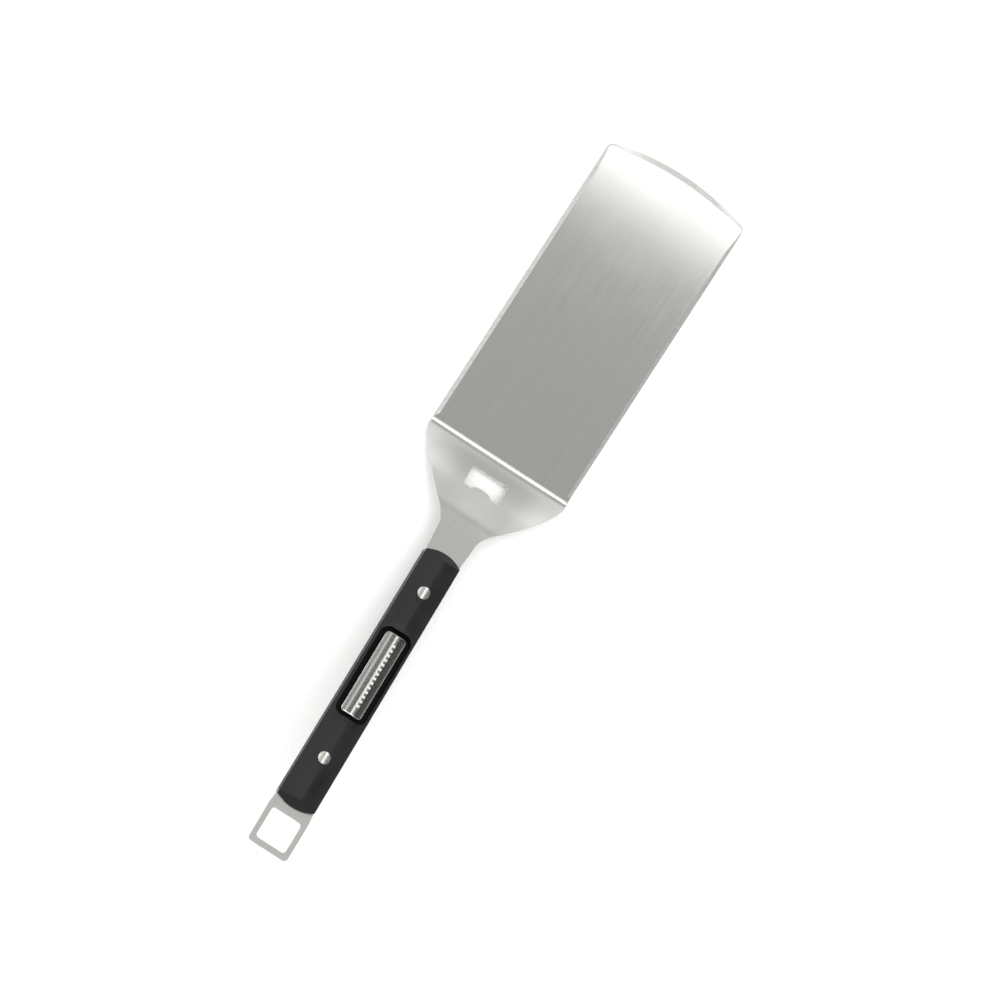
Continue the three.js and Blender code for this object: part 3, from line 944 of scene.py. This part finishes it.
@dataclass(frozen=True)
class HandleScale:
    """One black handle half: a domed bar with a soft ridge, chamfered round ends and two rivet holes."""

    crank: CrankLine
    side: Side
    front_half: float = 11.2
    rear_half: float = 12.0
    start: float = 21.9
    end: float = 187.4
    crown: float = 6.5
    edge: float = 2.6
    ridge_power: float = 1.7
    end_rise: float = 3.1
    chamfer_start: float = 2.2
    lip: float = 0.35
    gap: float = 0.1
    pocket_width: float = 18.8
    pocket_length: float = 56.3
    pocket_corner: float = 4.8
    pocket_floor: float = 2.4
    rivet_radius: float = 3.7

    @property
    def face(self) -> float:
        """Where the scale begins, out from the tang's middle."""
        return self.crank.sheet / 2 + self.gap

    @property
    def badge_y(self) -> float:
        """Middle of the pocket, midway between the rivets."""
        return -sum(RIVET_PLACES) / 2

    def dome(self, x: float) -> float:
        """Height of the dome above the tang's face."""
        softened = math.hypot(x, 0.5) / self.rear_half
        return self.crown - (self.crown - self.edge) * softened**self.ridge_power

    def end_circle(self, half: float, tip: float, outward: int) -> tuple[float, float]:
        """Middle and radius of the arc that ends the scale; `outward` is 1 at the front, -1 at the rear."""
        radius = (half**2 + self.end_rise**2) / (2 * self.end_rise)
        return tip - outward * radius, radius

    def top(self, x: float, y: float) -> float:
        """Height of the upper side: the dome, cut down by the two conical chamfers."""
        height = self.dome(x)
        ends = [(self.front_half, -self.start, 1), (self.rear_half, -self.end, -1)]
        for half, tip, outward in ends:
            middle, radius = self.end_circle(half, tip, outward)
            if (y - middle) * outward > 0:
                room = radius - math.hypot(x, y - middle)
                height = soft_least(height, self.chamfer_start + room, 0.8)
        return height

    def outline(self) -> list[Point]:
        """The scale in plan, anticlockwise, with its four corners eased."""
        front_y, front_radius = self.end_circle(self.front_half, -self.start, 1)
        rear_y, rear_radius = self.end_circle(self.rear_half, -self.end, -1)
        # Each end's arc stops this far short of the side, and a short curve rounds the corner.
        short = 0.7
        step = 0.25
        run = 0.9
        front_turn = math.asin((self.front_half - short) / front_radius)
        rear_turn = math.asin((self.rear_half - short) / rear_radius)
        up = math.pi / 2
        front = arc((0, front_y), front_radius, up, up - front_turn, 16)
        rear = arc((0, rear_y), rear_radius, -up + rear_turn, -up, 16)
        front_corner = (self.front_half, front[-1][1] - step)
        rear_corner = (self.rear_half, rear[0][1] + step)
        ease_front = curve([front[-1], front_corner, (self.front_half, front_corner[1] - run)], 5)
        ease_rear = curve([(self.rear_half, rear_corner[1] + run), rear_corner, rear[0]], 5)
        return mirrored([*front, *ease_front[1:], *ease_rear, *rear[1:]])[::-1]

    def placed(self, place: Place) -> Vector:
        """Shape a point of the flat scale and put it on the handle."""
        x, y, z = place
        return self.crank.on_handle((x, y, self.face + domed(z, self.top(x, y))), self.side)

    def pocket_levels(self) -> list[Level]:
        """Rings of the pocket's wall, from its floor up to its rounded lip."""
        rounded = rounding(self.lip, self.pocket_floor, FLAT_TOP)
        upper = rounded[len(rounded) // 2 :]
        return opened([lambda _: (0.0, self.pocket_floor), *upper])

    def build(self, finish: Material, pocket_shade: Material) -> bpy.types.Object:
        """Build the scale and install it.

        Args:
            finish: Its finish.
            pocket_shade: Finish of the pocket, the resin painted near-black as shade.

        Returns:
            The piece.
        """
        shell = Shell()
        low, high = shell.wall(self.outline(), rounding(self.lip, 0, FLAT_TOP))
        lows = [low]
        highs = [high]
        for distance in RIVET_PLACES:
            hole = circle(self.rivet_radius, -distance)
            low, high = shell.wall(hole, opened(rounding(0.12, 0, FLAT_TOP)))
            lows.append(low)
            highs.append(high)
        if self.side is Side.UPPER:
            pocket = rounded_box(self.pocket_width, self.pocket_length, self.pocket_corner, self.badge_y)
            # The pocket's wall and floor take the near-black finish, which is painted shade.
            floor, high = shell.wall(pocket, self.pocket_levels(), finish=1)
            highs.append(high)
            shell.cap([floor], finish=1)
        shell.cap(lows)
        shell.cap(highs)

        ridge_lines = [i * 0.8 for i in range(-15, 16)]
        chamfer_rows = [i * 0.5 for i in range(24)]
        rows = [-self.start - row for row in chamfer_rows] + [-self.end + row for row in chamfer_rows]
        shell.slice(Vector((1, 0, 0)), ridge_lines)
        shell.slice(Vector((0, 1, 0)), [*rows, *range(-170, -36, 6)])
        shell.shape(self.placed)
        side = self.side.name.lower()
        piece = finished(f"{side}_handle_scale", shell.mesh, [finish, pocket_shade], crease=24)
        install(piece, "scale_resin", f"{side}_scale")
        return piece


@dataclass(frozen=True)
class BadgePlate:
    """The arched trim plate in the pocket, with a plain row of raised ticks along it."""

    scale: HandleScale
    width: float = 13.0
    length: float = 51.7
    corner: float = 2.0
    edge: float = 1.0
    crown: float = 2.3
    base: float = 3.1
    lip: float = 0.22
    tick_count: int = 14
    tick_pitch: float = 3.0
    tick_offset: float = 1.1
    tick_size: Place = (2.3, 1.5, 0.6)
    tick_proud: float = 0.22
    tick_bevel: float = 0.14

    def arch(self, x: float) -> float:
        """Height of the arch above the plate's underside."""
        half = self.width / 2
        rise = self.crown - self.edge
        radius = (half**2 + rise**2) / (2 * rise)
        return self.crown - radius + math.sqrt(radius**2 - min(abs(x), half) ** 2)

    def add_ticks(self, mesh: bmesh.types.BMesh) -> None:
        """Stand a row of small bevelled bars on the arch, sunk a little into it."""
        height = self.arch(self.tick_offset) + self.tick_proud - self.tick_size[2] / 2
        for i in range(self.tick_count):
            along = self.scale.badge_y + (i - (self.tick_count - 1) / 2) * self.tick_pitch
            move = Matrix.Translation((self.tick_offset, along, height))
            place = move @ Matrix.Diagonal((*self.tick_size, 1))
            made = bmesh.ops.create_cube(mesh, size=1.0, matrix=place)
            edges = list({edge for vert in made["verts"] for edge in vert.link_edges})
            how = {"segments": 2, "profile": 0.5, "affect": "EDGES", "material": -1}
            bmesh.ops.bevel(mesh, geom=edges, offset=self.tick_bevel, **how)

    def build(self, finish: Material) -> bpy.types.Object:
        """Build the plate and install it.

        Args:
            finish: Its finish.

        Returns:
            The piece.
        """
        shell = Shell()
        plan = rounded_box(self.width, self.length, self.corner, self.scale.badge_y)
        low, high = shell.wall(plan, rounding(self.lip, 0, FLAT_TOP))
        shell.cap([low])
        shell.cap([high])
        shell.slice(Vector((1, 0, 0)), [i * 0.4 for i in range(-16, 17)])
        shell.slice(Vector((0, 1, 0)), [self.scale.badge_y + i * 5 for i in range(-5, 6)])
        shell.shape(lambda p: Vector((p[0], p[1], domed(p[2], self.arch(p[0])))))
        self.add_ticks(shell.mesh)
        lift = self.scale.face + self.base
        shell.shape(lambda p: self.scale.crank.on_handle((p[0], p[1], p[2] + lift), Side.UPPER))
        piece = finished("badge_plate_arched", shell.mesh, [finish], crease=20)
        install(piece, "badge_steel", "badge_plate")
        return piece


@dataclass(frozen=True)
class RivetHalf:
    """Half of a two-part rivet: a head ground flush with the dome, on a tube or on the pin that fills it."""

    scale: HandleScale
    distance: float
    head_radius: float = 3.6
    head_depth: float = 2.3
    tube_radius: float = 2.5
    bore_radius: float = 1.6
    pin_radius: float = 1.45
    # How far the tube and the pin reach past the tang's middle.
    tube_reach: float = 2.0
    pin_reach: float = 1.5
    # How far the bore stops short of the head.
    bore_end: float = 0.6
    ease: float = 0.12

    def profile(self) -> list[Point]:
        """Radius and height from the head's middle round to the shank's end, flat state on top."""
        flat = self.head_radius * 0.96
        rings = 7
        top = [(flat * i / rings, FLAT_TOP) for i in range(rings + 1)]
        under = self.scale.crown - self.head_depth
        rim = [(self.head_radius, FLAT_TOP - self.ease), (self.head_radius, under)]
        if self.scale.side is Side.UPPER:
            foot = -self.scale.face - self.tube_reach
            end = under - self.bore_end
            shank = [(self.tube_radius, under), (self.tube_radius, foot), (self.bore_radius, foot)]
            return [*top, *rim, *shank, (self.bore_radius, end), (0, end)]
        foot = -self.scale.face - self.pin_reach
        return [*top, *rim, (self.pin_radius, under), (self.pin_radius, foot), (0, foot)]

    def build(self, name: str, finish: Material, node: str) -> bpy.types.Object:
        """Build the half rivet and install it.

        Args:
            name: Name of the piece.
            finish: Its finish.
            node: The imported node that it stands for.

        Returns:
            The piece.
        """
        mesh = bmesh.new()
        verts = [mesh.verts.new((radius, 0, height)) for radius, height in self.profile()]
        edges = [mesh.edges.new(pair) for pair in zip(verts, verts[1:])]
        about = {"cent": (0, 0, 0), "axis": (0, 0, 1)}
        bmesh.ops.spin(mesh, geom=verts + edges, **about, angle=math.tau, steps=48, use_merge=True)
        bmesh.ops.remove_doubles(mesh, verts=mesh.verts, dist=TOUCH)
        for vert in mesh.verts:
            x, y, z = vert.co
            vert.co = self.scale.placed((x, y - self.distance, z))
        piece = finished(name, mesh, [finish], crease=24)
        install(piece, "rivet_steel", node)
        return piece


# ---------------------------------------------------------------- the studio


@dataclass(frozen=True)
class Softbox:
    """A rectangular studio light that hangs level, with a brightness that doesn't depend on its size."""

    name: str
    x: tuple[float, float]
    y: tuple[float, float]
    z: float
    radiance: float
    mirrored_in_metal: bool = True

    def build(self) -> bpy.types.Object:
        """Hang the light."""
        width = self.x[1] - self.x[0]
        length = self.y[1] - self.y[0]
        lamp = bpy.data.lights.new(self.name, "AREA")
        lamp.shape = "RECTANGLE"
        lamp.size = width
        lamp.size_y = length
        lamp.energy = self.radiance * math.pi * width * length
        light = bpy.data.objects.new(self.name, lamp)
        light.location = (sum(self.x) / 2, sum(self.y) / 2, self.z)
        light.visible_camera = False
        light.visible_glossy = self.mirrored_in_metal
        bpy.context.scene.collection.objects.link(light)
        return light


@dataclass(frozen=True)
class Studio:
    """Paper floor, soft lights, a pale room and the camera, in metres."""

    crank: CrankLine
    floor_half: float = 3.0
    floor_gap: float = 0.0002
    horizon: float = 0.92
    lean: float = math.radians(9.0)
    roll: float = math.radians(32.9)
    picture_width: float = 0.551
    lens: float = 1200.0
    sensor: float = 36.0
    heel_above_middle: float = 0.0204
    shift_right: float = 0.0009

    def softboxes(self) -> list[Softbox]:
        """Every light."""
        return [
            Softbox("tip_softbox", (-0.9, 1.3), (0.214, 0.29), 1.8, 2.1),
            Softbox("left_softbox", (-0.64, -0.34), (0.35, 0.95), 1.6, 0.75),
            Softbox("right_strip", (0.19, 0.36), (0.35, 0.95), 1.6, 2.2),
            Softbox("floor_wash", (-2, 2), (-2, 2), 2.2, 1.1, mirrored_in_metal=False),
        ]

    def build_floor(self) -> None:
        """Lay the paper, a hair lower than the blade so that the two never share a plane."""
        mesh = bmesh.new()
        bmesh.ops.create_grid(mesh, x_segments=6, y_segments=6, size=self.floor_half / MM)
        bmesh.ops.translate(mesh, vec=(0, 0, -self.floor_gap / MM), verts=mesh.verts)
        floor = finished("paper_floor", mesh, [PaperSweep().build()], crease=30)

    def build_room(self) -> None:
        """Surround the part with a pale room whose brightness depends only on the direction.

        Over the middle it is dim. The blade sees the part straight above, the handle the part a little
        forward of it, and the shoulder the brighter part beyond.
        """
        world = bpy.data.worlds.new("pale_room")
        room = NodeMaker(world, "Generated")
        across, along, up = room.parts()

        dip = room.band(along, (0.32, 0.36), (0.37, 0.46), -0.36)
        ceiling = room.add(room.span(along, 0.5, 0.78, 0, 1.1), room.add(dip, 0.56))
        # A dark stripe that the middle of the badge mirrors.
        stripe = room.band(along, (0.2, 0.3), (0.46, 0.56), 0.12)
        middle = room.span(room.math("ABSOLUTE", across), 0.03, 0.1, 1, 0)
        ceiling = room.math("SUBTRACT", ceiling, room.math("MULTIPLY", stripe, middle))
        # A narrow bright strip that only the heel bend mirrors.
        ceiling = room.add(ceiling, room.band(along, (0.18, 0.27), (0.29, 0.325), 3.4))

        left = room.span(across, -0.62, -0.4, 0.35, 0)
        beside = room.math("MULTIPLY", left, room.span(along, 0.2, 0.3, 1, 0))
        # A dark panel high on the right, which shades that side of the handle.
        panel = room.band(along, (0.2, 0.3), (0.5, 0.6), 1)
        panel = room.math("MULTIPLY", panel, room.span(across, 0.33, 0.42, 0, 0.95))
        lit = room.math("SUBTRACT", 1.0, panel)
        overhead = room.math("MULTIPLY", room.add(ceiling, beside), lit)

        above = room.span(up, 0.15, 0.45, 0, 1)
        change = room.math("MULTIPLY", above, room.math("SUBTRACT", overhead, self.horizon))
        backdrop = {"Color": (1.0, 1.0, 0.995, 1.0), "Strength": room.add(self.horizon, change)}
        sky = add_node(room.tree, "ShaderNodeBackground", None, backdrop)
        add_node(room.tree, "ShaderNodeOutputWorld", None, {"Surface": sky.outputs[0]})
        bpy.context.scene.world = world

    def build_camera(self) -> None:
        """Look straight down from a long way off, leaning a little to the left."""
        towards = Vector((-math.sin(self.lean), 0, math.cos(self.lean)))
        level = Vector((math.cos(self.lean), 0, math.sin(self.lean)))
        forward = Vector((0, 1, 0))
        up = forward * math.cos(self.roll) - level * math.sin(self.roll)
        right = level * math.cos(self.roll) + forward * math.sin(self.roll)
        heel = Vector((0, self.crank.heel_y * MM, self.crank.sheet / 2 * MM))
        aim = heel - up * self.heel_above_middle + level * self.shift_right
        distance = self.picture_width * self.lens / self.sensor

        camera_data = bpy.data.cameras.new("studio_camera")
        camera_data.lens = self.lens
        camera_data.sensor_width = self.sensor
        camera_data.clip_end = distance * 2
        camera = bpy.data.objects.new("studio_camera", camera_data)
        turn = Matrix((right, up, towards)).transposed().to_4x4()
        camera.matrix_world = Matrix.Translation(aim + towards * distance) @ turn
        bpy.context.scene.collection.objects.link(camera)
        bpy.context.scene.camera = camera

    def build(self) -> None:
        """Build everything that is not part of the object."""
        self.build_floor()
        self.build_room()
        for softbox in self.softboxes():
            softbox.build()
        self.build_camera()
        bpy.context.scene.view_settings.view_transform = "Standard"


# ---------------------------------------------------------------- the whole part


def main() -> None:
    """Build the studio and every piece."""
    logging.basicConfig(level=logging.INFO, format="%(message)s")
    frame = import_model()
    crank = read_crank(frame["record"])

    Studio(crank).build()
    SteelSheet(crank).build(BrushedStainless(crank.heel_y).build(), GroundSteel().build())

    resin = MouldedResin().build()
    trim = PolishedSteel(light="#b6b5b2", dark="#adaca9", roughness=0.13).build()
    rivet_steel = PolishedSteel(name="stainless_rivet_linished", roughness=0.18).build()
    upper = HandleScale(crank, Side.UPPER)
    lower = HandleScale(crank, Side.LOWER)
    # The pocket's resin is painted near-black: painted shade for the shadow inside the pocket.
    pocket_shade = MouldedResin("black_resin_pocket_painted_shade", "#050505", "#0a090a", 0.6, 0.08).build()
    upper.build(resin, pocket_shade)
    lower.build(resin, pocket_shade)
    BadgePlate(upper).build(trim)
    for place, distance in zip(("front", "rear"), RIVET_PLACES):
        RivetHalf(upper, distance).build(f"{place}_rivet_head", rivet_steel, f"{place}_rivet_tube")
        RivetHalf(lower, distance).build(f"{place}_rivet_mate", rivet_steel, f"{place}_rivet_pin")

    pad = frame["nodes"]["badge_pad"]
    pad.data.materials.clear()
    pad.data.materials.append(FoamPad().build())


if __name__ == "__main__":
    main()
